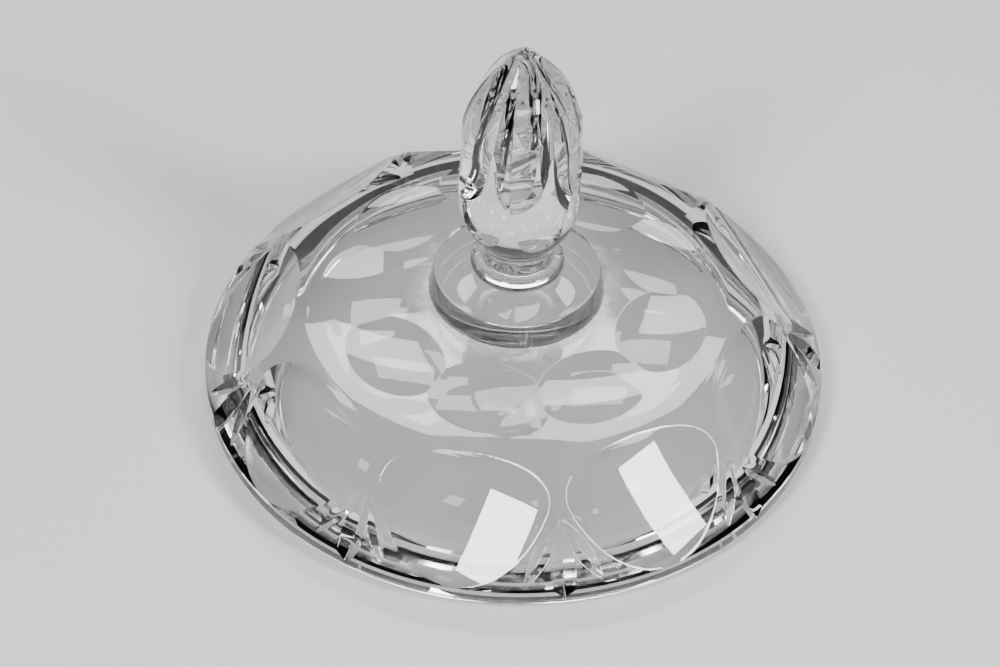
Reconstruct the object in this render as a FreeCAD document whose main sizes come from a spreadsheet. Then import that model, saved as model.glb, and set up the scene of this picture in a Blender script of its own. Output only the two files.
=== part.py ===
"""Cut-glass lid of a powder jar: a shallow cover with a locating ring, and a tall faceted knob bonded on top.

Row frame: +Z up, origin on the axis at the foot of the locating ring, millimetres and degrees.
One fan of mitre cuts faces -Y; the others follow every 40 degrees.
"""

import FreeCAD, Part

import math
import os

import Sketcher

V = FreeCAD.Vector
ROTATE = FreeCAD.Rotation
UP = V(0, 0, 1)
FRONT = -90.0  # the direction, about +Z from +X, that the first fan faces

# Driving dimensions: alias, value, what it is.
DIMENSIONS = [
    ("cover_dia", 130.0, "outside diameter of the rim"),
    ("rim_band", 3.7, "height of the upright edge of the rim"),
    ("rim_chamfer", 0.5, "chamfer under the rim"),
    ("wall_slope", 52.0, "slope of the side wall below the horizontal"),
    ("shoulder_radius", 17.0, "outside radius between side wall and crown"),
    ("crown_radius", 389.0, "spherical radius of the crown"),
    ("spot_height", 24.4, "bonding spot above the seat"),
    ("spot_margin", 1.0, "ground spot beyond the knob's foot"),
    ("glass_thickness", 5.5, "thickness of the crown"),
    ("inner_fillet", 18.5, "inside radius between crown and ring"),
    ("ring_dia", 121.0, "outside diameter of the locating ring"),
    ("ring_wall", 4.5, "thickness of the locating ring"),
    ("ring_drop", 3.0, "height of the locating ring below the seat"),
    ("ring_chamfer", 0.4, "chamfer on the ring's foot"),
    ("fan_count", 9.0, "fans round the cover, with one thumbprint between two"),
    ("thumb_wheel", 95.0, "radius of the wheel and its face for thumbprints"),
    ("thumb_depth", 3.5, "depth of a thumbprint at the shoulder"),
    ("thumb_tilt", 45.5, "slope of a thumbprint below the horizontal"),
    ("oval_wheel", 88.0, "wheel radius of the crown ovals, across"),
    ("oval_face", 45.0, "face radius of the crown ovals, along the radius"),
    ("oval_depth", 1.0, "depth of a crown oval"),
    ("oval_place", 31.5, "distance of the crown ovals from the axis"),
    ("mitre_wheel", 27.0, "radius of the mitre wheel"),
    ("mitre_angle", 110.0, "included angle of the mitre wheel"),
    ("middle_depth", 1.8, "depth of a fan's middle cut"),
    ("middle_reach", 10.0, "from a fan's point to the deepest place of its middle cut"),
    ("outer_depth", 1.35, "depth of a fan's outer cuts"),
    ("outer_reach", 8.0, "from a fan's point to the deepest place of its outer cuts"),
    ("fan_drop", 1.5, "fan's point below the top of the side wall"),
    ("fan_spread", 32.0, "angle of a fan's outer cuts from its middle cut"),
    ("bond_thickness", 0.15, "thickness of the adhesive film"),
    ("foot_dia", 36.2, "diameter of the knob's foot"),
    ("foot_edge", 5.2, "height of the foot's edge"),
    ("foot_taper", 1.0, "how far the foot's edge leans in"),
    ("foot_rise", 2.5, "rise of the foot's top from its edge to the middle of the collar"),
    ("collar_dia", 19.2, "diameter of the collar above the foot"),
    ("collar_height", 3.8, "height of the rounded collar"),
    ("neck_dia", 14.8, "diameter of the neck"),
    ("bulb_dia", 26.4, "diameter of the bulb before cutting"),
    ("bulb_middle", 38.0, "widest place of the bulb above the foot's underside"),
    ("bulb_above", 25.7, "from the widest place to the tip"),
    ("bulb_side", 14.0, "from the widest place down to the bulb's rounded base"),
    ("bulb_side_radius", 130.0, "radius of the bulb's side below the widest place"),
    ("bulb_base_radius", 15.0, "radius of the bulb's rounded base"),
    ("panel_count", 6.0, "upright panels round the bulb, with a wide and a narrow flute above each"),
    ("panel_dia", 23.0, "across opposite panels"),
    ("knob_turn", 10.5, "turn of the knob's panels from the front"),
    ("flute_upright", 40.5, "place above the foot's underside where the flutes stand upright"),
    ("flute_wheel", 28.0, "radius of the wheel that ends the flutes"),
    ("flute_shift", 9.0, "turn of a wide flute's middle from its panel's middle"),
    ("wide_dia", 21.7, "across the middles of opposite wide flutes"),
    ("wide_hollow", 17.0, "radius of a wide flute's hollow"),
    ("narrow_dia", 23.8, "across the middles of opposite narrow flutes"),
    ("narrow_hollow", 14.0, "radius of a narrow flute's hollow"),
]

BLANK_TIP = 0.8  # how far the knob's blank stands above its finished tip
SLACK = 4.0  # how far a cutting profile runs past the glass


def make_sheet(doc):
    """Writes the spreadsheet of driving dimensions and gives the same numbers as a dict."""
    sheet = doc.addObject("Spreadsheet::Sheet", "dims")
    for row, (alias, value, words) in enumerate(DIMENSIONS, start=1):
        sheet.set(f"A{row}", words)
        sheet.set(f"B{row}", str(value))
        sheet.setAlias(f"B{row}", alias)
    doc.recompute()
    return {alias: float(sheet.get(alias)) for alias, _, _ in DIMENSIONS}


def plane_of(body, role):
    """One of a body's own origin planes."""
    return next(f for f in body.Origin.OriginFeatures if f.Role == role)


def new_sketch(body, name, role="XZ_Plane", place=None):
    """A sketch on an origin plane of its body; place moves it in that plane's frame."""
    sketch = body.newObject("Sketcher::SketchObject", name)
    sketch.AttachmentSupport = [(plane_of(body, role), "")]
    sketch.MapMode = "FlatFace"
    if place is not None:
        sketch.AttachmentOffset = place
    return sketch


class Outline:
    """A closed chain of lines and arcs, joined end to end, whose sizes follow the sheet."""

    def __init__(self, sketch, start):
        self.sketch = sketch
        self.at = V(*start, 0)
        self.first = None
        self.last = None

    def _join(self, index, start_end, smooth):
        if self.last is None:
            self.first = (index, start_end[0])
        else:
            kind = "Tangent" if smooth else "Coincident"
            self.sketch.addConstraint(Sketcher.Constraint(kind, *self.last, index, start_end[0]))
        self.last = (index, start_end[1])
        return index

    def line(self, x, y, kind=None, smooth=False):
        end = V(x, y, 0)
        index = self.sketch.addGeometry(Part.LineSegment(self.at, end), False)
        self.at = end
        self._join(index, (1, 2), smooth)
        if kind:
            self.sketch.addConstraint(Sketcher.Constraint(kind, index))
        return index

    def arc(self, centre, x, y, clockwise=True, smooth=False):
        centre, end = V(*centre, 0), V(x, y, 0)
        radius = (end - centre).Length
        low, high = (end, self.at) if clockwise else (self.at, end)
        angles = [math.atan2(p.y - centre.y, p.x - centre.x) for p in (low, high)]
        circle = Part.Circle(centre, UP, radius)
        index = self.sketch.addGeometry(Part.ArcOfCircle(circle, *angles), False)
        self.at = end
        return self._join(index, (2, 1) if clockwise else (1, 2), smooth)

    def close(self):
        self.sketch.addConstraint(Sketcher.Constraint("Coincident", *self.last, *self.first))

    def size(self, kind, where, value, formula):
        """A dimension that follows a formula of the sheet."""
        index = self.sketch.addConstraint(Sketcher.Constraint(kind, *where, value))
        self.sketch.setExpression(f"Constraints[{index}]", formula)


def revolve(body, name, sketch, kind="PartDesign::Revolution", axis="V_Axis"):
    """A full turn of a sketch about its own axis, added to the body or cut from it."""
    feature = body.newObject(kind, name)
    feature.Profile = (sketch, [""])
    feature.ReferenceAxis = (sketch, [axis])
    feature.Angle = 360
    sketch.Visibility = False
    return feature


def pattern(body, name, originals, count_alias):
    """Repeats features round the body's Z axis."""
    turn = body.newObject("PartDesign::PolarPattern", name)
    turn.Originals = originals
    turn.Axis = (next(f for f in body.Origin.OriginFeatures if f.Role == "Z_Axis"), [""])
    turn.Angle = 360
    turn.setExpression("Occurrences", f"dims.{count_alias}")
    body.Tip = turn
    return turn


def frame_at(turn, radius, height, along, inward):
    """Placement at a place on the meridian turned by an angle about Z: x runs along, y runs inward.

    along and inward are (outward, sideways, up) in that meridian's own directions.
    """
    spin = ROTATE(UP, turn)
    x, y = (spin.multVec(V(*d)).normalize() for d in (along, inward))
    return FreeCAD.Placement(spin.multVec(V(radius, 0, height)), ROTATE(x, y, x.cross(y), "XYZ"))


def wheel_cut(body, name, place, half_width, wheel, face=None):
    """Cuts with a wheel that spins about its frame's x axis. wheel and face are (value, formula) of its radius
    and of the roundness of its rim; with no face the rim is flat."""
    sketch = new_sketch(body, name + "_profile", "XY_Plane", place)
    rim = wheel[0]
    drop = 0.0 if face is None else face[0] - math.sqrt(face[0] ** 2 - half_width**2)
    outline = Outline(sketch, (-half_width, 0))
    side = outline.line(-half_width, rim - drop, "Vertical")
    if face is None:
        top = outline.line(half_width, rim, "Horizontal")
        outline.size("DistanceY", (-1, 1, top, 1), rim, wheel[1])
    else:
        top = outline.arc((0, rim - face[0]), half_width, rim - drop)
        outline.size("Radius", (top,), face[0], face[1])
        outline.size("DistanceY", (-1, 1, top, 3), rim - face[0], f"{wheel[1]} - {face[1]}")
        sketch.addConstraint(Sketcher.Constraint("PointOnObject", top, 3, -2))
    outline.line(half_width, 0, "Vertical")
    base = outline.line(-half_width, 0, "Horizontal")
    outline.close()
    sketch.addConstraint(Sketcher.Constraint("PointOnObject", base, 1, -1))
    sketch.addConstraint(Sketcher.Constraint("DistanceX", -1, 1, base, 1, half_width))
    sketch.addConstraint(Sketcher.Constraint("DistanceX", side, 1, -1, 1, half_width))
    return revolve(body, name, sketch, "PartDesign::Groove", "H_Axis")


def mitre_cut(body, name, place, d, depth_alias):
    """Cuts with a V-edged wheel that spins about its frame's x axis."""
    sketch = new_sketch(body, name + "_profile", "XY_Plane", place)
    half_width = 2.4 * d[depth_alias]
    slope = math.radians(90 - d["mitre_angle"] / 2)
    rim = d["mitre_wheel"]
    edge = rim - half_width * math.tan(slope)
    outline = Outline(sketch, (-half_width, 0))
    left = outline.line(-half_width, edge, "Vertical")
    rise = outline.line(0, rim)
    fall = outline.line(half_width, edge)
    right = outline.line(half_width, 0, "Vertical")
    outline.line(-half_width, 0)
    outline.close()
    sketch.addConstraint(Sketcher.Constraint("PointOnObject", left, 1, -1))
    sketch.addConstraint(Sketcher.Constraint("PointOnObject", rise, 2, -2))
    sketch.addConstraint(Sketcher.Constraint("Symmetric", left, 1, right, 2, -1, 1))
    sketch.addConstraint(Sketcher.Constraint("Horizontal", rise, 1, fall, 2))
    outline.size("DistanceY", (-1, 1, rise, 2), rim, "dims.mitre_wheel")
    outline.size("DistanceX", (-1, 1, right, 2), half_width, f"2.4 * dims.{depth_alias}")
    drop = f"2.4 * dims.{depth_alias} * tan(90 deg - dims.mitre_angle / 2 * 1 deg)"
    outline.size("DistanceY", (rise, 1, rise, 2), rim - edge, drop)
    return revolve(body, name, sketch, "PartDesign::Groove", "H_Axis")


def cover_section(d):
    """Points of the cover's half section, worked out from the driving dimensions."""
    s = {}
    s["rim"] = d["cover_dia"] / 2
    s["seat"] = d["ring_drop"]
    s["band_top"] = s["seat"] + d["rim_band"]
    s["spot_z"] = s["seat"] + d["spot_height"]
    s["spot_r"] = d["foot_dia"] / 2 + d["spot_margin"]
    s["ring"] = d["ring_dia"] / 2
    s["ring_in"] = s["ring"] - d["ring_wall"]
    slope = math.radians(d["wall_slope"])
    big, small = d["crown_radius"], d["shoulder_radius"]
    s["crown_z"] = s["spot_z"] - math.sqrt(big**2 - s["spot_r"] ** 2)
    up = (-math.cos(slope), math.sin(slope))
    foot = (s["rim"] - small * math.sin(slope), s["band_top"] - small * math.cos(slope) - s["crown_z"])
    along = foot[0] * up[0] + foot[1] * up[1]
    reach = -along + math.sqrt(along**2 - foot[0] ** 2 - foot[1] ** 2 + (big - small) ** 2)
    s["shoulder"] = (foot[0] + reach * up[0], foot[1] + reach * up[1] + s["crown_z"])
    s["wall_top"] = (s["rim"] + reach * up[0], s["band_top"] + reach * up[1])
    lean = math.atan2(s["shoulder"][0], s["shoulder"][1] - s["crown_z"])
    s["crown_end"] = (big * math.sin(lean), s["crown_z"] + big * math.cos(lean))
    under, fillet = big - d["glass_thickness"], d["inner_fillet"]
    run = s["ring_in"] - fillet
    s["fillet"] = (run, s["crown_z"] + math.sqrt((under - fillet) ** 2 - run**2))
    lean = math.atan2(run, s["fillet"][1] - s["crown_z"])
    s["under_end"] = (under * math.sin(lean), s["crown_z"] + under * math.cos(lean))
    s["under_z"] = s["crown_z"] + under
    return s


def make_cover_blank(body, d, s):
    """The cover before cutting, as a full turn of its half section."""
    sketch = new_sketch(body, "cover_section")
    chamfer, nick = d["rim_chamfer"], d["ring_chamfer"]
    o = Outline(sketch, (0, s["spot_z"]))
    spot = o.line(s["spot_r"], s["spot_z"], "Horizontal")
    crown = o.arc((0, s["crown_z"]), *s["crown_end"])
    shoulder = o.arc(s["shoulder"], *s["wall_top"], smooth=True)
    wall = o.line(s["rim"], s["band_top"], smooth=True)
    band = o.line(s["rim"], s["seat"] + chamfer, "Vertical")
    bevel = o.line(s["rim"] - chamfer, s["seat"])
    seat = o.line(s["ring"], s["seat"], "Horizontal")
    ring = o.line(s["ring"], nick, "Vertical")
    outer_nick = o.line(s["ring"] - nick, 0)
    foot = o.line(s["ring_in"] + nick, 0, "Horizontal")
    inner_nick = o.line(s["ring_in"], nick)
    inside = o.line(s["ring_in"], s["fillet"][1], "Vertical")
    fillet = o.arc(s["fillet"], *s["under_end"], clockwise=False, smooth=True)
    under = o.arc((0, s["crown_z"]), 0, s["under_z"], clockwise=False, smooth=True)
    axis = o.line(0, s["spot_z"], "Vertical")
    o.close()
    sketch.addConstraint(Sketcher.Constraint("Coincident", crown, 3, under, 3))
    sketch.addConstraint(Sketcher.Constraint("PointOnObject", crown, 3, -2))
    sketch.addConstraint(Sketcher.Constraint("PointOnObject", axis, 2, -2))
    sketch.addConstraint(Sketcher.Constraint("PointOnObject", foot, 1, -1))
    o.size("DistanceX", (-1, 1, spot, 2), s["spot_r"], "dims.foot_dia / 2 + dims.spot_margin")
    o.size("DistanceY", (-1, 1, spot, 1), s["spot_z"], "dims.ring_drop + dims.spot_height")
    o.size("Radius", (crown,), d["crown_radius"], "dims.crown_radius")
    o.size("Radius", (shoulder,), d["shoulder_radius"], "dims.shoulder_radius")
    o.size("Radius", (under,), d["crown_radius"] - d["glass_thickness"], "dims.crown_radius - dims.glass_thickness")
    o.size("Radius", (fillet,), d["inner_fillet"], "dims.inner_fillet")
    o.size("DistanceX", (-1, 1, band, 1), s["rim"], "dims.cover_dia / 2")
    o.size("DistanceY", (-1, 1, band, 1), s["band_top"], "dims.ring_drop + dims.rim_band")
    o.size("DistanceY", (-1, 1, seat, 1), s["seat"], "dims.ring_drop")
    o.size("DistanceX", (bevel, 2, bevel, 1), chamfer, "dims.rim_chamfer")
    o.size("DistanceY", (bevel, 2, bevel, 1), chamfer, "dims.rim_chamfer")
    o.size("DistanceX", (-1, 1, ring, 1), s["ring"], "dims.ring_dia / 2")
    o.size("DistanceX", (outer_nick, 2, outer_nick, 1), nick, "dims.ring_chamfer")
    o.size("DistanceY", (outer_nick, 2, outer_nick, 1), nick, "dims.ring_chamfer")
    o.size("DistanceX", (inner_nick, 2, inner_nick, 1), nick, "dims.ring_chamfer")
    o.size("DistanceY", (inner_nick, 1, inner_nick, 2), nick, "dims.ring_chamfer")
    o.size("DistanceX", (-1, 1, inside, 1), s["ring_in"], "dims.ring_dia / 2 - dims.ring_wall")
    o.size("Angle", (wall,), -math.radians(d["wall_slope"]), "-dims.wall_slope * 1 deg")
    return revolve(body, "cover_blank", sketch)


def thumbprint(body, d, s):
    """One broad shallow cut across the shoulder, half a step from the front fan."""
    turn = FRONT + 180.0 / d["fan_count"]
    tilt = math.radians(d["thumb_tilt"])
    inward = (-math.sin(tilt), 0, -math.cos(tilt))
    place = [s["shoulder"][i] - (d["shoulder_radius"] - d["thumb_depth"]) * inward[2 * i] for i in (0, 1)]
    centre = [place[i] - d["thumb_wheel"] * inward[2 * i] for i in (0, 1)]
    frame = frame_at(turn, *centre, (math.cos(tilt), 0, -math.sin(tilt)), inward)
    wheel = (d["thumb_wheel"], "dims.thumb_wheel")
    return wheel_cut(body, "thumbprint", frame, 1.8 * d["shoulder_radius"], wheel, wheel)


def crown_oval(body, d, s):
    """One oval cut on the crown, inside a thumbprint."""
    turn = FRONT + 180.0 / d["fan_count"]
    lean = math.asin(d["oval_place"] / d["crown_radius"])
    inward = (-math.sin(lean), 0, -math.cos(lean))
    reach = d["crown_radius"] - d["oval_depth"] + d["oval_wheel"]
    centre = (reach * math.sin(lean), s["crown_z"] + reach * math.cos(lean))
    frame = frame_at(turn, *centre, (math.cos(lean), 0, -math.sin(lean)), inward)
    wheel = (d["oval_wheel"], "dims.oval_wheel")
    return wheel_cut(body, "crown_oval", frame, 0.3 * d["oval_face"], wheel, (d["oval_face"], "dims.oval_face"))


def fan(body, d, s):
    """Three mitre cuts that spread from one point at the top of the side wall."""
    slope = math.radians(d["wall_slope"])
    down = V(math.cos(slope), 0, -math.sin(slope))
    inward = V(-math.sin(slope), 0, -math.cos(slope))
    point = V(s["wall_top"][0], 0, s["wall_top"][1]) + down * d["fan_drop"]
    cuts = []
    kinds = (("mitre_middle", 0, "middle"), ("mitre_left", -1, "outer"), ("mitre_right", 1, "outer"))
    for name, spread, size in kinds:
        depth = size + "_depth"
        run = ROTATE(inward, spread * d["fan_spread"]).multVec(down)
        middle = point + run * d[size + "_reach"]
        sink = d[depth] - (math.hypot(middle.x, middle.y) - middle.x) * math.sin(slope)
        centre = middle - inward * (d["mitre_wheel"] - sink)
        whole = ROTATE(UP, FRONT)
        x, y = whole.multVec(run.cross(inward)), whole.multVec(inward)
        frame = FreeCAD.Placement(whole.multVec(centre), ROTATE(x, y, x.cross(y), "XYZ"))
        cuts.append(mitre_cut(body, name, frame, d, depth))
    return cuts


def make_cover(doc, d):
    body = doc.addObject("PartDesign::Body", "cover")
    s = cover_section(d)
    make_cover_blank(body, d, s)
    pattern(body, "thumbprints", [thumbprint(body, d, s)], "fan_count")
    pattern(body, "crown_ovals", [crown_oval(body, d, s)], "fan_count")
    pattern(body, "fans", fan(body, d, s), "fan_count")
    return body


def ogive(half, rise):
    """Radius of the arc that leaves the widest place upright and reaches the axis at the tip."""
    return (half**2 + rise**2) / (2 * half)


def make_finial_blank(body, d):
    """The knob before cutting, as a full turn of its half section."""
    sketch = new_sketch(body, "finial_section")
    foot, edge = d["foot_dia"] / 2, d["foot_edge"]
    top = foot - d["foot_taper"]
    collar, bead = d["collar_dia"] / 2, d["collar_height"] / 2
    collar_z = edge + d["foot_rise"]
    waist = collar - bead
    rise = collar_z - bead - edge
    flare = ((top - waist) ** 2 + rise**2) / (2 * rise)
    half, mid = d["bulb_dia"] / 2, d["bulb_middle"]
    above = d["bulb_above"] + BLANK_TIP
    upper = ogive(half, above)
    side, base = d["bulb_side_radius"], d["bulb_base_radius"]
    lean = math.asin(d["bulb_side"] / side)
    side_end = (half - side + side * math.cos(lean), mid - d["bulb_side"])
    base_c = (side_end[0] - base * math.cos(lean), side_end[1] + base * math.sin(lean))
    neck = d["neck_dia"] / 2
    base_end = (neck, base_c[1] - math.sqrt(base**2 - (neck - base_c[0]) ** 2))

    o = Outline(sketch, (0, 0))
    sole = o.line(foot, 0, "Horizontal")
    rim = o.line(top, edge)
    bell = o.arc((top, edge + flare), waist, collar_z - bead, clockwise=True)
    ring = o.arc((waist, collar_z), waist, collar_z + bead, clockwise=False)
    ledge = o.line(neck, collar_z + bead, "Horizontal")
    stem = o.line(*base_end, "Vertical")
    cheek = o.arc(base_c, *side_end, clockwise=False)
    flank = o.arc((half - side, mid), half, mid, clockwise=False, smooth=True)
    nose = o.arc((half - upper, mid), 0, mid + above, clockwise=False, smooth=True)
    axis = o.line(0, 0, "Vertical")
    o.close()
    sketch.addConstraint(Sketcher.Constraint("Coincident", sole, 1, -1, 1))
    o.size("DistanceX", (-1, 1, sole, 2), foot, "dims.foot_dia / 2")
    o.size("DistanceX", (rim, 2, rim, 1), foot - top, "dims.foot_taper")
    o.size("DistanceY", (-1, 1, rim, 2), edge, "dims.foot_edge")
    sketch.addConstraint(Sketcher.Constraint("Vertical", rim, 2, bell, 3))
    sketch.addConstraint(Sketcher.Constraint("Vertical", ring, 1, ring, 2))
    sketch.addConstraint(Sketcher.Constraint("Vertical", ring, 1, ring, 3))
    o.size("DistanceX", (-1, 1, ring, 1), waist, "dims.collar_dia / 2 - dims.collar_height / 2")
    o.size("DistanceY", (-1, 1, ring, 3), collar_z, "dims.foot_edge + dims.foot_rise")
    o.size("Radius", (ring,), bead, "dims.collar_height / 2")
    o.size("DistanceX", (-1, 1, stem, 1), neck, "dims.neck_dia / 2")
    o.size("Radius", (cheek,), base, "dims.bulb_base_radius")
    o.size("Radius", (flank,), side, "dims.bulb_side_radius")
    o.size("DistanceY", (-1, 1, flank, 3), mid, "dims.bulb_middle")
    o.size("DistanceY", (-1, 1, nose, 3), mid, "dims.bulb_middle")
    o.size("DistanceY", (-1, 1, cheek, 2), mid - d["bulb_side"], "dims.bulb_middle - dims.bulb_side")
    o.size("DistanceX", (-1, 1, nose, 1), half, "dims.bulb_dia / 2")
    tip = f"dims.bulb_middle + dims.bulb_above + {BLANK_TIP}"
    o.size("DistanceY", (-1, 1, axis, 1), mid + above, tip)
    return revolve(body, "finial_blank", sketch)


def panel(body, d):
    """One of the upright panels, flat, that run out on the bulb's rounded base."""
    flat = d["panel_dia"] / 2
    low = d["bulb_middle"] - 1.5 * d["bulb_side"]
    high = d["flute_upright"] + 2 * SLACK
    turn = ROTATE(V(0, 1, 0), FRONT + d["knob_turn"])
    sketch = new_sketch(body, "panel_profile", place=FreeCAD.Placement(V(), turn))
    o = Outline(sketch, (flat, low))
    face = o.line(flat, high, "Vertical")
    top = o.line(flat + SLACK, high, "Horizontal")
    o.line(flat + SLACK, low, "Vertical")
    o.line(flat, low, "Horizontal")
    o.close()
    o.size("DistanceX", (-1, 1, face, 1), flat, "dims.panel_dia / 2")
    o.size("DistanceY", (-1, 1, face, 1), low, "dims.bulb_middle - 1.5 * dims.bulb_side")
    o.size("DistanceY", (-1, 1, face, 2), high, f"dims.flute_upright + {2 * SLACK}")
    sketch.addConstraint(Sketcher.Constraint("DistanceX", top, 1, top, 2, SLACK))
    pocket = body.newObject("PartDesign::Pocket", "panel")
    pocket.Profile = (sketch, [""])
    pocket.SideType = "Symmetric"
    pocket.Length = 4 * d["bulb_dia"]
    sketch.Visibility = False
    return pocket


def flute(body, name, turn, d):
    """A hollow flute: bowed down from the tip, then run out where its wheel leaves the glass."""
    deep, place = d[name + "_dia"] / 2, d["flute_upright"]
    hollow = d[name + "_hollow"]
    rise = d["bulb_middle"] + d["bulb_above"] - place
    bow = ogive(deep, rise)
    half = 1.6 * deep * math.sin(math.pi / d["panel_count"] / 2 + abs(math.radians(d["flute_shift"])))
    corner = bow + hollow - math.sqrt(hollow**2 - half**2)
    outer = bow + SLACK
    frame = frame_at(turn, deep - bow, place, (0, -1, 0), (1, 0, 0))
    sketch = new_sketch(body, name + "_flute_profile", "XY_Plane", frame)
    o = Outline(sketch, (-half, corner))
    floor = o.arc((0, bow + hollow), half, corner, clockwise=False)
    side = o.line(half, outer, "Vertical")
    back = o.line(-half, outer, "Horizontal")
    o.line(-half, corner, "Vertical")
    o.close()
    reach = f"dims.{name}_dia / 2"
    climb = "(dims.bulb_middle + dims.bulb_above - dims.flute_upright)"
    bowed = f"(({reach}) ^ 2 + {climb} ^ 2) / (2 * {reach})"
    sketch.addConstraint(Sketcher.Constraint("PointOnObject", floor, 3, -2))
    sketch.addConstraint(Sketcher.Constraint("DistanceX", back, 2, -1, 1, half))
    sketch.addConstraint(Sketcher.Constraint("DistanceX", -1, 1, side, 1, half))
    o.size("Radius", (floor,), hollow, f"dims.{name}_hollow")
    o.size("DistanceY", (-1, 1, floor, 3), bow + hollow, f"{bowed} + dims.{name}_hollow")
    o.size("DistanceY", (-1, 1, back, 1), outer, f"{bowed} + {SLACK}")
    sweep = revolve(body, name + "_flute", sketch, "PartDesign::Groove", "H_Axis")
    sweep.Angle = math.degrees(math.asin(rise / bow)) + 5
    frame = frame_at(turn, deep + d["flute_wheel"], place, (0, -1, 0), (-1, 0, 0))
    wheel = (d["flute_wheel"], "dims.flute_wheel")
    face = (hollow, f"dims.{name}_hollow")
    end = wheel_cut(body, name + "_flute_end", frame, half, wheel, face)
    end.Angle = 60
    return [sweep, end]


def make_finial(doc, d):
    body = doc.addObject("PartDesign::Body", "finial")
    make_finial_blank(body, d)
    pattern(body, "panels", [panel(body, d)], "panel_count")
    turn = FRONT + d["knob_turn"] - d["flute_shift"]
    pattern(body, "wide_flutes", flute(body, "wide", turn, d), "panel_count")
    turn += 180 / d["panel_count"]
    pattern(body, "narrow_flutes", flute(body, "narrow", turn, d), "panel_count")
    return body


def make_bond(doc):
    """The film of adhesive between the knob's foot and its ground spot."""
    film = doc.addObject("Part::Cylinder", "bond")
    film.setExpression("Radius", "dims.foot_dia / 2")
    film.setExpression("Height", "dims.bond_thickness")
    return film


def main():
    doc = FreeCAD.newDocument("powder_jar_lid")
    d = make_sheet(doc)
    cover = make_cover(doc, d)
    finial = make_finial(doc, d)
    bond = make_bond(doc)
    bond.setExpression("Placement.Base.z", "dims.ring_drop + dims.spot_height")
    finial.setExpression("Placement.Base.z", "dims.ring_drop + dims.spot_height + dims.bond_thickness")
    doc.recompute()

    for obj in doc.Objects:
        if "Invalid" in obj.State or "Error" in obj.State:
            raise SystemExit(f"{obj.Name} failed: {obj.State}")
    os.makedirs("parts", exist_ok=True)
    for node in (cover, finial, bond):
        shape = node.Shape
        if shape.isNull() or not shape.isValid() or len(shape.Solids) != 1:
            raise SystemExit(f"{node.Label} is not one sound solid")
        print(node.Label, round(shape.Volume, 1), shape.BoundBox)
        shape.exportStep(f"parts/{node.Label}.step")


main()
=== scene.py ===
"""Looks of the cut-crystal jar lid. Lengths are worked out in millimetres and written in metres."""

import math

import bpy
import numpy as np
from mathutils import Matrix, Vector


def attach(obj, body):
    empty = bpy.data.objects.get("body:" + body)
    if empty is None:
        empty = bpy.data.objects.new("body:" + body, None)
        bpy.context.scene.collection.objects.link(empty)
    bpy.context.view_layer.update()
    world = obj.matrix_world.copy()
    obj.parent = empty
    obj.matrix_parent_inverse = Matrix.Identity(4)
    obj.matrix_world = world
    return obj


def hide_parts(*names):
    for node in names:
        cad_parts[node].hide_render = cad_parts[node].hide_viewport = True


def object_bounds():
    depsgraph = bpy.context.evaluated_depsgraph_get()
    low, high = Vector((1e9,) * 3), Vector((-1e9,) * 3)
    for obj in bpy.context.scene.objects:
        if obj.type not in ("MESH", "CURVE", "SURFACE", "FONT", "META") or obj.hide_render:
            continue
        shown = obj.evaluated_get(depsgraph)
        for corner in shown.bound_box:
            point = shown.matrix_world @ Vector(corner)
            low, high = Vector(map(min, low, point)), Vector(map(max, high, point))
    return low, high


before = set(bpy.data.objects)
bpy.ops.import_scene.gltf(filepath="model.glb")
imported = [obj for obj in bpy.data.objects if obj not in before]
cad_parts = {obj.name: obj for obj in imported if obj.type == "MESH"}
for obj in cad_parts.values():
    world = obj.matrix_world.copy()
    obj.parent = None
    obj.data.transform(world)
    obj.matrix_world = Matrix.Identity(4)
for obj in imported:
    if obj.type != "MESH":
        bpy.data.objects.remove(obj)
CAD_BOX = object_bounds()

MM = 0.001
FANS = 9
STEP = 2 * math.pi / FANS
FRONT = -math.pi / 2

# Cover
RIM, BAND, SEAT, CHAMFER = 65.0, 3.7, 3.0, 0.5
SLOPE, SHOULDER, CROWN = math.radians(52), 17.0, 389.0
SPOT_Z, SPOT_R = 27.4, 19.1
THICK, FILLET = 5.5, 18.5
RING, RING_WALL, NICK = 60.5, 4.5, 0.4
# Cuts on the cover: the wheel's radius, the radius of its face, and how deep and where it cuts
THUMB_WHEEL, THUMB_DEPTH, THUMB_TILT = 95.0, 3.5, math.radians(45.5)
OVAL_WHEEL, OVAL_FACE, OVAL_DEPTH, OVAL_PLACE = 88.0, 45.0, 1.0, 31.5
MITRE_WHEEL, MITRE_SLOPE, FAN_DROP, FAN_SPREAD = 27.0, math.radians(35), 1.5, math.radians(32)
MIDDLE_REACH, MIDDLE_DEPTH = 10.0, 1.8
OUTER_REACH, OUTER_DEPTH = 8.0, 1.35
# Knob, on its film of adhesive
FILM = 0.15
FOOT_Z = SPOT_Z + FILM
FOOT_R, FOOT_TOP, FOOT_EDGE = 18.1, 17.1, 5.2
FOOT_NICK, FOOT_BEVEL = 0.25, 0.5
COLLAR_R, COLLAR_Z, BEAD = 9.6, 7.7, 1.9
NECK_R = 7.4
BULB_R, BULB_Z, TIP_Z = 13.2, 38.0, 63.7
SIDE_DROP, SIDE_R, BASE_R = 14.0, 130.0, 15.0
PANELS, PANEL_R, KNOB_TURN = 6, 11.5, math.radians(10.5)
FLUTE_Z, FLUTE_WHEEL, SHIFT = 40.5, 28.0, math.radians(9)
WIDE_R, WIDE_HOLLOW = 10.85, 17.0
NARROW_R, NARROW_HOLLOW = 11.9, 14.0
# How far the bulb's blank would rise past the tip that the flutes leave
BLANK_TIP = 0.8
# Haze on the cover: where it begins to fade past the foot, where it ends, and how far down it reaches
HAZE_FROM, HAZE_TO, HAZE_TOP, HAZE_BOTTOM = 0.4, 4.5, 2.0, 3.0
# Search for a cut surface: how far below the blank, and how often the span is halved
CARVE_DEPTH, CARVE_HALVINGS = 8.0, 34


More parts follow.
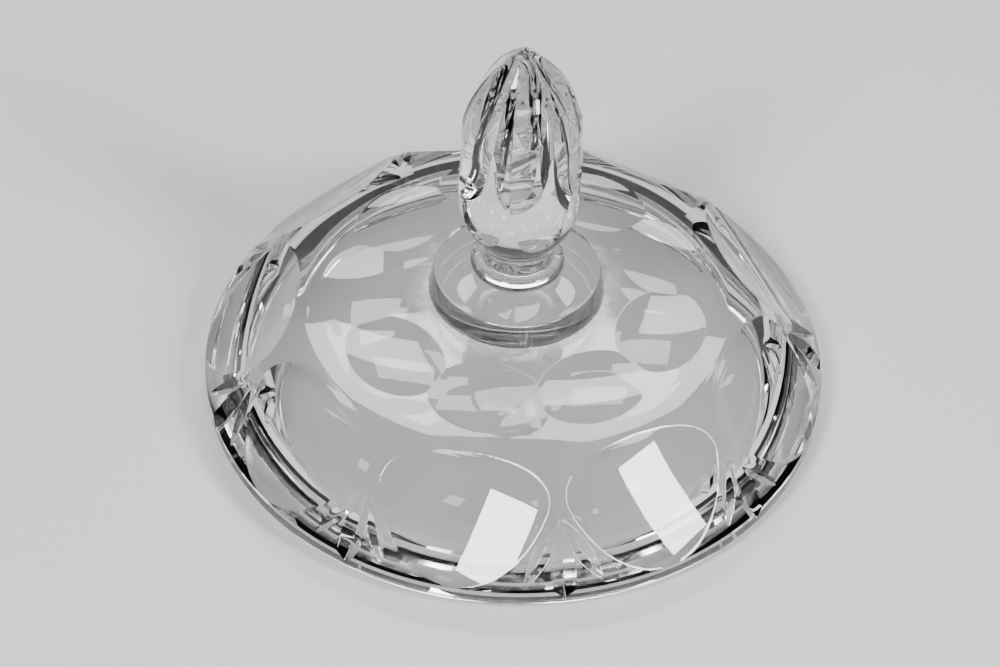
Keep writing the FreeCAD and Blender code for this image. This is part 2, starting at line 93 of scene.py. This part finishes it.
def meridian():
    """Centres and joints of the cover's outer arcs and inner arcs, as (r, z)."""
    crown_z = SPOT_Z - math.sqrt(CROWN**2 - SPOT_R**2)
    up = np.array([-math.cos(SLOPE), math.sin(SLOPE)])
    foot_z = SEAT + BAND - SHOULDER * math.cos(SLOPE) - crown_z
    foot = np.array([RIM - SHOULDER * math.sin(SLOPE), foot_z])
    along = foot @ up
    reach = -along + math.sqrt(along**2 - foot @ foot + (CROWN - SHOULDER) ** 2)
    centre = foot + reach * up + np.array([0, crown_z])
    wall_top = np.array([RIM, SEAT + BAND]) + reach * up
    lean = math.atan2(centre[0], centre[1] - crown_z)
    crown_end = np.array([CROWN * math.sin(lean), crown_z + CROWN * math.cos(lean)])
    return {"crown_z": crown_z, "shoulder": centre, "wall_top": wall_top, "crown_end": crown_end}


M = meridian()


def blank_height(r):
    """Height of the uncut cover at a distance from the axis."""
    crown = M["crown_z"] + np.sqrt(CROWN**2 - r**2)
    inside = np.maximum(SHOULDER**2 - (r - M["shoulder"][0]) ** 2, 0)
    shoulder = M["shoulder"][1] + np.sqrt(inside)
    wall = SEAT + BAND + (RIM - r) * math.tan(SLOPE)
    z = np.where(r < M["crown_end"][0], crown, np.where(r < M["wall_top"][0], shoulder, wall))
    return np.where(r < SPOT_R, SPOT_Z, z)


def unit(v):
    v = np.asarray(v, float)
    return v / np.linalg.norm(v)


def spun(v, angle):
    """v turned about the lid's axis."""
    c, s = math.cos(angle), math.sin(angle)
    return np.array([c * v[0] - s * v[1], s * v[0] + c * v[1], v[2]])


def about(axis, angle, v):
    """v turned about an axis through the origin."""
    c, s = math.cos(angle), math.sin(angle)
    return v * c + np.cross(axis, v) * s + axis * (axis @ v) * (1 - c)


def wheel(centre, axle, rim, face):
    """A cutting wheel with a rounded rim: negative inside."""
    def inside(p):
        q = p - centre
        u = q @ axle
        rho = np.sqrt(np.maximum((q * q).sum(-1) - u * u, 0))
        return rho - (rim - face + np.sqrt(np.maximum(face**2 - u * u, 0)))
    return inside


def mitre(centre, axle, rim, slope):
    """A cutting wheel with a V-shaped rim: negative inside."""
    def inside(p):
        q = p - centre
        u = q @ axle
        rho = np.sqrt(np.maximum((q * q).sum(-1) - u * u, 0))
        return rho + np.abs(u) * math.tan(slope) - rim
    return inside


def thumbprint(turn):
    """The broad cut across the shoulder."""
    inward = np.array([-math.sin(THUMB_TILT), 0, -math.cos(THUMB_TILT)])
    shoulder = np.array([M["shoulder"][0], 0, M["shoulder"][1]])
    deepest = shoulder - inward * (SHOULDER - THUMB_DEPTH)
    centre = deepest - inward * THUMB_WHEEL
    axle = np.array([math.cos(THUMB_TILT), 0, -math.sin(THUMB_TILT)])
    return wheel(spun(centre, turn), spun(axle, turn), THUMB_WHEEL, THUMB_WHEEL)


def crown_oval(turn):
    """The shallow oval on the crown."""
    lean = math.asin(OVAL_PLACE / CROWN)
    inward = np.array([-math.sin(lean), 0, -math.cos(lean)])
    centre = np.array([0, 0, M["crown_z"]]) - inward * (CROWN - OVAL_DEPTH + OVAL_WHEEL)
    axle = np.array([math.cos(lean), 0, -math.sin(lean)])
    return wheel(spun(centre, turn), spun(axle, turn), OVAL_WHEEL, OVAL_FACE)


def fan(turn):
    """Three mitre cuts that spread down the side wall from one point."""
    down = np.array([math.cos(SLOPE), 0, -math.sin(SLOPE)])
    inward = np.array([-math.sin(SLOPE), 0, -math.cos(SLOPE)])
    point = np.array([M["wall_top"][0], 0, M["wall_top"][1]]) + down * FAN_DROP
    cuts = []
    outer = (OUTER_REACH, OUTER_DEPTH)
    for side, (reach, depth) in ((0, (MIDDLE_REACH, MIDDLE_DEPTH)), (-1, outer), (1, outer)):
        course = about(inward, side * FAN_SPREAD, down)
        middle = point + course * reach
        sink = depth - (math.hypot(middle[0], middle[1]) - middle[0]) * math.sin(SLOPE)
        centre = middle - inward * (MITRE_WHEEL - sink)
        axle = unit(np.cross(course, inward))
        cuts.append(mitre(spun(centre, turn), spun(axle, turn), MITRE_WHEEL, MITRE_SLOPE))
    return cuts


def carve(r, phi, z, cutters):
    """Lowers the height z over the plan points (r, phi) to where the cutters leave glass."""
    x, y = r * np.cos(phi), r * np.sin(phi)
    top = z.copy()
    for inside in cutters:
        hit = inside(np.stack([x, y, top], -1)) < 0
        if not hit.any():
            continue
        xs, ys, high = x[hit], y[hit], top[hit]
        low = high - CARVE_DEPTH
        for _ in range(CARVE_HALVINGS):
            mid = (low + high) / 2
            cut = inside(np.stack([xs, ys, mid], -1)) < 0
            high = np.where(cut, mid, high)
            low = np.where(cut, low, mid)
        top[hit] = high
    return top


def arc(centre, radius, start, end, count):
    """Points (r, z) on an arc, its start left out."""
    angles = np.linspace(start, end, count + 1)[1:]
    return [(centre[0] + radius * math.cos(a), centre[1] + radius * math.sin(a)) for a in angles]


def run(start, end, count):
    """Points (r, z) on a line, its start left out."""
    steps = np.linspace(0, 1, count + 1)[1:]
    return [tuple(np.array(start) + (np.array(end) - np.array(start)) * t) for t in steps]


class Turned:
    """A closed mesh of rings about the Z axis, with a pole at each end."""

    def __init__(self, columns, turn=0.0):
        self.phi = turn + np.arange(columns) * 2 * math.pi / columns
        self.rings, self.sharp, self.slots = [], set(), []

    def ring(self, r, z, sharp=False, slot=0):
        """Adds a ring. slot is the material of the faces between it and the one before."""
        r = np.broadcast_to(np.asarray(r, float), self.phi.shape)
        z = np.broadcast_to(np.asarray(z, float), self.phi.shape)
        if sharp:
            self.sharp.add(len(self.rings))
        self.rings.append(np.stack([r * np.cos(self.phi), r * np.sin(self.phi), z], -1))
        self.slots.append(slot)

    def build(self, name, bottom, top, end_slots, materials):
        n, rows = len(self.phi), len(self.rings)
        co = np.concatenate([*self.rings, [[0, 0, bottom], [0, 0, top]]]) * MM
        i = np.arange(n)
        j = (i + 1) % n
        faces, slots = [], []
        for k in range(rows - 1):
            a, b = k * n, (k + 1) * n
            faces.append(np.stack([a + i, a + j, b + j, b + i], -1))
            slots += [self.slots[k + 1]] * n
        first, last = rows * n, rows * n + 1
        caps = [np.stack([np.full(n, first), j, i], -1)]
        caps.append(np.stack([np.full(n, last), (rows - 1) * n + i, (rows - 1) * n + j], -1))
        slots += [end_slots[0]] * n + [end_slots[1]] * n
        quads = np.concatenate(faces)
        tris = np.concatenate(caps)
        mesh = bpy.data.meshes.new(name)
        mesh.vertices.add(len(co))
        mesh.vertices.foreach_set("co", co.astype(np.float32).ravel())
        loops = np.concatenate([quads.ravel(), tris.ravel()])
        starts = np.concatenate([np.arange(len(quads)) * 4, len(quads) * 4 + np.arange(len(tris)) * 3])
        mesh.loops.add(len(loops))
        mesh.loops.foreach_set("vertex_index", loops.astype(np.int32))
        mesh.polygons.add(len(quads) + len(tris))
        mesh.polygons.foreach_set("loop_start", starts.astype(np.int32))
        mesh.update(calc_edges=True)
        mesh.polygons.foreach_set("material_index", np.array(slots, np.int32))
        mesh.polygons.foreach_set("use_smooth", np.ones(len(slots), bool))
        ends = np.zeros(len(mesh.edges) * 2, np.int32)
        mesh.edges.foreach_get("vertices", ends)
        row = ends.reshape(-1, 2) // n
        crisp = (row[:, 0] == row[:, 1]) & np.isin(row[:, 0], sorted(self.sharp))
        mesh.attributes.new("sharp_edge", "BOOLEAN", "EDGE").data.foreach_set("value", crisp)
        for material in materials:
            mesh.materials.append(material)
        mesh.validate()
        mesh.update()
        piece = bpy.data.objects.new(name, mesh)
        bpy.context.scene.collection.objects.link(piece)
        return piece


def cover_mesh(materials):
    """Outside from the spot to the rim with all its cuts, then the seat, the ring and the hollow."""
    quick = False
    per_fan = 100 if quick else 200
    t = Turned(FANS * per_fan, FRONT - STEP / 2)
    local = t.phi[:per_fan]
    sector = [thumbprint(FRONT + s * STEP / 2) for s in (-1, 1)]
    sector += [crown_oval(FRONT + s * STEP / 2) for s in (-1, 1)] + fan(FRONT)
    reach = np.arange(SPOT_R, RIM - 0.05, 0.5 if quick else 0.25)
    reach = np.append(reach, RIM)
    grid_r, grid_phi = np.meshgrid(reach, local, indexing="ij")
    height = carve(grid_r, grid_phi, blank_height(grid_r), sector)
    height = np.tile(height, (1, FANS))

    hollow_r = RING - RING_WALL
    under = CROWN - THICK
    flat = hollow_r - FILLET
    fillet_z = M["crown_z"] + math.sqrt((under - FILLET) ** 2 - flat**2)
    lean = math.atan2(flat, fillet_z - M["crown_z"])

    # from the middle of the hollow outwards and up to the spot
    for a in np.linspace(0, lean, 60)[1:]:
        t.ring(under * math.sin(a), M["crown_z"] + under * math.cos(a))
    for p in arc((flat, fillet_z), FILLET, math.pi / 2 - lean, 0, 36):
        t.ring(*p)
    t.ring(hollow_r, NICK, sharp=True)
    for p in arc((hollow_r + NICK, NICK), NICK, math.pi, 1.5 * math.pi, 5):
        t.ring(*p)
    t.ring(RING - NICK, 0, slot=1)
    for p in arc((RING - NICK, NICK), NICK, -math.pi / 2, 0, 5):
        t.ring(*p)
    t.ring(RING, SEAT, sharp=True)
    t.ring(RIM - CHAMFER, SEAT)
    for p in arc((RIM - CHAMFER, SEAT + CHAMFER), CHAMFER, -math.pi / 2, 0, 5):
        t.ring(*p)
    edge = np.maximum(height[-1], SEAT + CHAMFER + 0.05)
    for k in (0.33, 0.67):
        t.ring(RIM, SEAT + CHAMFER + (edge - SEAT - CHAMFER) * k)
    t.ring(RIM, edge, sharp=True)
    for k in range(len(reach) - 2, -1, -1):
        t.ring(reach[k], height[k])
    t.ring(FOOT_R, SPOT_Z, slot=2)
    return t.build("cover_crystal", M["crown_z"] + under, SPOT_Z, (0, 3), materials)


def flute(theta, deep, hollow):
    """Distance from the axis to a hollow flute, at an angle off its middle."""
    bend = np.sin(theta) ** 2 / (2 * hollow)
    inside = np.cos(theta) ** 2 - 4 * bend * deep
    r = (np.cos(theta) - np.sqrt(np.maximum(inside, 0))) / np.maximum(2 * bend, 1e-9)
    r = np.where(bend < 1e-7, deep, r)
    return np.where((inside > 0) & (np.cos(theta) > 0.3), r, 1e3)


def wrapped(phi, centre, pitch):
    """Angle off the nearest of the evenly spaced centres."""
    return (phi - centre + pitch / 2) % pitch - pitch / 2


def ogive(half, rise, up):
    """Distance from the axis of an arc that leaves half upright and closes after a rise."""
    bow = (half**2 + rise**2) / (2 * half)
    return np.maximum(half - bow + np.sqrt(np.maximum(bow**2 - up**2, 0)), 0)


def bulb_base():
    """Foot of the bulb's side arc, and centre of the rounder arc below it, as (r, z)."""
    lean = math.asin(SIDE_DROP / SIDE_R)
    side_end = (BULB_R - SIDE_R + SIDE_R * math.cos(lean), BULB_Z - SIDE_DROP)
    centre = (side_end[0] - BASE_R * math.cos(lean), side_end[1] + BASE_R * math.sin(lean))
    return side_end, centre


def bulb_radius(phi, z):
    """Distance from the axis to the bulb's surface."""
    side_end, base = bulb_base()
    upper = ogive(BULB_R, TIP_Z + BLANK_TIP - BULB_Z, z - BULB_Z)
    side = BULB_R - SIDE_R + np.sqrt(SIDE_R**2 - (z - BULB_Z) ** 2)
    lower = base[0] + np.sqrt(np.maximum(BASE_R**2 - (z - base[1]) ** 2, 0))
    r = np.where(z > BULB_Z, upper, np.where(z > side_end[1], side, lower))
    r = np.broadcast_to(r, phi.shape).copy()
    pitch = 2 * math.pi / PANELS
    middle = FRONT + KNOB_TURN
    r = np.minimum(r, PANEL_R / np.cos(wrapped(phi, middle, pitch)))
    rise = TIP_Z - FLUTE_Z
    out = FLUTE_WHEEL - math.sqrt(max(FLUTE_WHEEL**2 - (FLUTE_Z - z) ** 2, 0))
    for deep, turn, hollow in (
        (WIDE_R, middle - SHIFT, WIDE_HOLLOW),
        (NARROW_R, middle - SHIFT + pitch / 2, NARROW_HOLLOW),
    ):
        reach = ogive(deep, rise, z - FLUTE_Z) if z > FLUTE_Z else deep + out
        r = np.minimum(r, flute(wrapped(phi, turn, pitch), reach, hollow))
    return r


def finial_mesh(materials):
    """Disc foot, bell, collar, neck and the cut bulb."""
    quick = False
    t = Turned(360 if quick else 720)
    z0 = FOOT_Z
    t.ring(FOOT_R - FOOT_NICK, z0, sharp=True, slot=1)
    t.ring(FOOT_R, z0 + FOOT_NICK)
    waist = COLLAR_R - BEAD
    lean = math.atan2(FOOT_R - FOOT_TOP, FOOT_EDGE)
    inset, drop = FOOT_BEVEL * math.cos(lean), FOOT_BEVEL * math.sin(lean)
    edge = (FOOT_TOP + drop, FOOT_EDGE - inset)
    start = edge[0] - inset
    low = edge[1] - drop + FOOT_BEVEL
    rise = COLLAR_Z - BEAD - low
    bell = ((start - waist) ** 2 + rise**2) / (2 * rise)
    sweep = math.asin((start - waist) / bell)
    top = COLLAR_Z + BEAD
    bend = waist - NECK_R
    # the foot's edge and its round, the bell, the collar, and the round below the neck
    points = run((FOOT_R, FOOT_NICK), edge, 8)
    points += arc((start, edge[1] - drop), FOOT_BEVEL, lean, math.pi / 2, 8)
    points += arc((start, low + bell), bell, -math.pi / 2, -math.pi / 2 - sweep, 30)
    points += arc((waist, COLLAR_Z), BEAD, -math.pi / 2, math.pi / 2, 24)
    points += arc((waist, top + bend), bend, -math.pi / 2, -math.pi, 10)
    for r, z in points:
        t.ring(r, z0 + z)
    base = bulb_base()[1]
    neck_top = base[1] - math.sqrt(BASE_R**2 - (NECK_R - base[0]) ** 2)
    for z in np.linspace(top + bend, neck_top, 12)[1:]:
        t.ring(NECK_R, z0 + z)
    first = math.asin((neck_top - base[1]) / BASE_R)
    low_rows = [base[1] + BASE_R * math.sin(a) for a in np.linspace(first, 0, 50)[1:-1]]
    rows = low_rows + list(np.linspace(base[1], TIP_Z, 120 if quick else 240)[:-1])
    for z in rows:
        t.ring(bulb_radius(t.phi, np.float64(z)), z0 + z)
    return t.build("finial_crystal", z0, z0 + TIP_Z, (1, 0), materials)


def node(tree, kind, **inputs):
    """A new shader node with its sockets set."""
    made = tree.nodes.new(kind)
    for name, value in inputs.items():
        made.inputs[name.replace("_", " ")].default_value = value
    return made


def crystal(name, roughness=(0.0, 0.03), wave=0.015, colour=(0.985, 0.99, 0.992), hazed=False):
    """Polished lead crystal: clear, heavy, with faint polishing waves and fine wear."""
    material = bpy.data.materials.new(name)
    material.use_nodes = True
    tree = material.node_tree
    shader = tree.nodes["Principled BSDF"]
    shader.inputs["Base Color"].default_value = (*colour, 1)
    shader.inputs["Transmission Weight"].default_value = 1.0
    shader.inputs["IOR"].default_value = 1.545
    where = tree.nodes.new("ShaderNodeTexCoord")
    wear = node(tree, "ShaderNodeTexNoise", Scale=900.0, Detail=4.0, Roughness=0.6)
    tree.links.new(where.outputs["Object"], wear.inputs["Vector"])
    spread = ramp(tree, wear.outputs["Fac"], 0.45, 0.8, roughness[0], roughness[1])
    rough = spread.outputs["Result"]
    if hazed:
        rough = haze_round_foot(tree, where, shader, rough)
    tree.links.new(rough, shader.inputs["Roughness"])
    waves = node(tree, "ShaderNodeTexNoise", Scale=70.0, Detail=1.0)
    tree.links.new(where.outputs["Object"], waves.inputs["Vector"])
    bump = node(tree, "ShaderNodeBump", Strength=wave, Distance=0.002)
    tree.links.new(waves.outputs["Fac"], bump.inputs["Height"])
    tree.links.new(bump.outputs["Normal"], shader.inputs["Normal"])
    return material


def ramp(tree, source, low, high, start, end):
    """A straight, clamped change of one value into another."""
    made = tree.nodes.new("ShaderNodeMapRange")
    tree.links.new(source, made.inputs["Value"])
    for name, value in (("From Min", low), ("From Max", high), ("To Min", start), ("To Max", end)):
        made.inputs[name].default_value = value
    return made


def haze_round_foot(tree, where, shader, rough):
    """A whitish ring of fine scuffs on the cover, which fades outwards from the knob's foot."""
    flat = tree.nodes.new("ShaderNodeVectorMath")
    flat.operation = "MULTIPLY"
    flat.inputs[1].default_value = (1, 1, 0)
    tree.links.new(where.outputs["Object"], flat.inputs[0])
    reach = tree.nodes.new("ShaderNodeVectorMath")
    reach.operation = "LENGTH"
    tree.links.new(flat.outputs["Vector"], reach.inputs[0])
    near, far = (FOOT_R + HAZE_FROM) * MM, (FOOT_R + HAZE_TO) * MM
    fade = ramp(tree, reach.outputs["Value"], near, far, 1.0, 0.0)
    height = tree.nodes.new("ShaderNodeSeparateXYZ")
    tree.links.new(where.outputs["Object"], height.inputs["Vector"])
    lower, upper = (SPOT_Z - HAZE_BOTTOM) * MM, (SPOT_Z - HAZE_TOP) * MM
    on_top = ramp(tree, height.outputs["Z"], lower, upper, 0.0, 1.0)
    cloud = node(tree, "ShaderNodeTexNoise", Scale=420.0, Detail=6.0, Roughness=0.75)
    tree.links.new(where.outputs["Object"], cloud.inputs["Vector"])
    grain = ramp(tree, cloud.outputs["Fac"], 0.38, 0.66, 0.0, 1.0)
    mask = grain.outputs["Result"]
    for part in (fade, on_top):
        product = tree.nodes.new("ShaderNodeMath")
        product.operation = "MULTIPLY"
        tree.links.new(mask, product.inputs[0])
        tree.links.new(part.outputs["Result"], product.inputs[1])
        mask = product.outputs["Value"]
    cloudy = ramp(tree, mask, 0.0, 1.0, 1.0, 0.45)
    tree.links.new(cloudy.outputs["Result"], shader.inputs["Transmission Weight"])
    scuffed = ramp(tree, mask, 0.0, 1.0, 0.0, 0.35)
    total = tree.nodes.new("ShaderNodeMath")
    total.operation = "ADD"
    tree.links.new(rough, total.inputs[0])
    tree.links.new(scuffed.outputs["Result"], total.inputs[1])
    return total.outputs["Value"]


def contact(name):
    """A face in optical contact with its neighbour: nothing shows there."""
    material = crystal(name, (0.0, 0.01), 0.0)
    material.node_tree.nodes["Principled BSDF"].inputs["Alpha"].default_value = 0.0
    return material


clear = crystal("crystal_polished")
covering = crystal("crystal_polished_cover", hazed=True)
ground = crystal("crystal_ground", (0.1, 0.3), 0.0)
haze = crystal("crystal_spot", (0.02, 0.12), 0.0, hazed=True)
touch = contact("crystal_in_contact")

cover = cover_mesh([covering, ground, haze, touch])
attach(cover, "root")
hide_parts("cover")
knob = finial_mesh([clear, touch])
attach(knob, "root")
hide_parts("finial")

film = crystal("adhesive", (0.2, 0.4), 0.0, (0.95, 0.95, 0.93))
film.node_tree.nodes["Principled BSDF"].inputs["Alpha"].default_value = 0.08
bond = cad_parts["bond"]
bond.data.materials.clear()
bond.data.materials.append(film)


def plain(name, colour, roughness):
    material = bpy.data.materials.new(name)
    material.use_nodes = True
    shader = material.node_tree.nodes["Principled BSDF"]
    shader.inputs["Base Color"].default_value = (*colour, 1)
    shader.inputs["Roughness"].default_value = roughness
    return material


FLOOR, FLOOR_GAP = 3.0, 0.00005
floor_mesh = bpy.data.meshes.new("floor")
corners = [(-FLOOR, -FLOOR), (FLOOR, -FLOOR), (FLOOR, FLOOR), (-FLOOR, FLOOR)]
floor_z = CAD_BOX[0].z - FLOOR_GAP
floor_mesh.from_pydata([(x, y, floor_z) for x, y in corners], [], [(0, 1, 2, 3)])
floor_mesh.materials.append(plain("floor", (0.66, 0.66, 0.65), 0.6))
floor = bpy.data.objects.new("floor", floor_mesh)
bpy.context.scene.collection.objects.link(floor)

# Camera: a 105 mm lens, looking down at the rim's plane
ELEVATION, DISTANCE = math.radians(46.08), 9.532 * RIM * MM
YAW, PITCH, ROLL = math.radians(-0.286), math.radians(0.657), math.radians(2.167)
CAMERA_TURN = math.radians(-10.53)
LENS, SENSOR = 105.0, 36.0


def swung(a, b, angle):
    """Two axes at right angles, turned together in the plane they share."""
    c, s = math.cos(angle), math.sin(angle)
    return a * c + b * s, b * c - a * s


def camera_axes():
    """The camera's place, and the directions to its right, up and ahead."""
    at = np.array([0, -DISTANCE * math.cos(ELEVATION), DISTANCE * math.sin(ELEVATION)])
    ahead = -unit(at)
    right = np.array([1.0, 0, 0])
    up = np.cross(right, ahead)
    ahead, right = swung(ahead, right, YAW)
    ahead, up = swung(ahead, up, PITCH)
    right, up = swung(right, up, ROLL)
    return [spun(v, CAMERA_TURN) for v in (at, right, up, ahead)]


at, right, up, ahead = camera_axes()
camera_data = bpy.data.cameras.new("camera")
camera_data.lens = LENS
camera_data.sensor_width = SENSOR
camera_data.clip_start = 0.01
camera = bpy.data.objects.new("camera", camera_data)
turn = Matrix([(right[i], up[i], -ahead[i]) for i in range(3)]).to_4x4()
camera.matrix_world = Matrix.Translation(Vector(at) + Vector((0, 0, SEAT * MM))) @ turn
bpy.context.scene.collection.objects.link(camera)
bpy.context.scene.camera = camera


def softbox(name, azimuth, elevation, distance, size, power):
    """A rectangular light that faces the lid. Azimuth is from the camera's side towards its right."""
    a, e = math.radians(azimuth) + CAMERA_TURN + FRONT, math.radians(elevation)
    place = Vector((math.cos(a) * math.cos(e), math.sin(a) * math.cos(e), math.sin(e))) * distance
    data = bpy.data.lights.new(name, "AREA")
    data.shape = "RECTANGLE"
    data.size, data.size_y = size
    data.energy = power
    light = bpy.data.objects.new(name, data)
    light.location = place
    light.rotation_euler = (-place).to_track_quat("-Z", "Y").to_euler()
    bpy.context.scene.collection.objects.link(light)


softbox("window_left", -30, 44, 1.3, (0.24, 0.41), 18)
softbox("window_right", 54, 37, 1.3, (0.22, 0.45), 17)
softbox("window_front", 14, 18, 1.3, (0.10, 0.24), 3)
softbox("back", 180, 55, 1.3, (0.80, 0.30), 9)

world = bpy.data.worlds.new("studio")
world.use_nodes = True
world.node_tree.nodes["Background"].inputs["Color"].default_value = (0.30, 0.31, 0.33, 1)
world.node_tree.nodes["Background"].inputs["Strength"].default_value = 0.22
bpy.context.scene.world = world
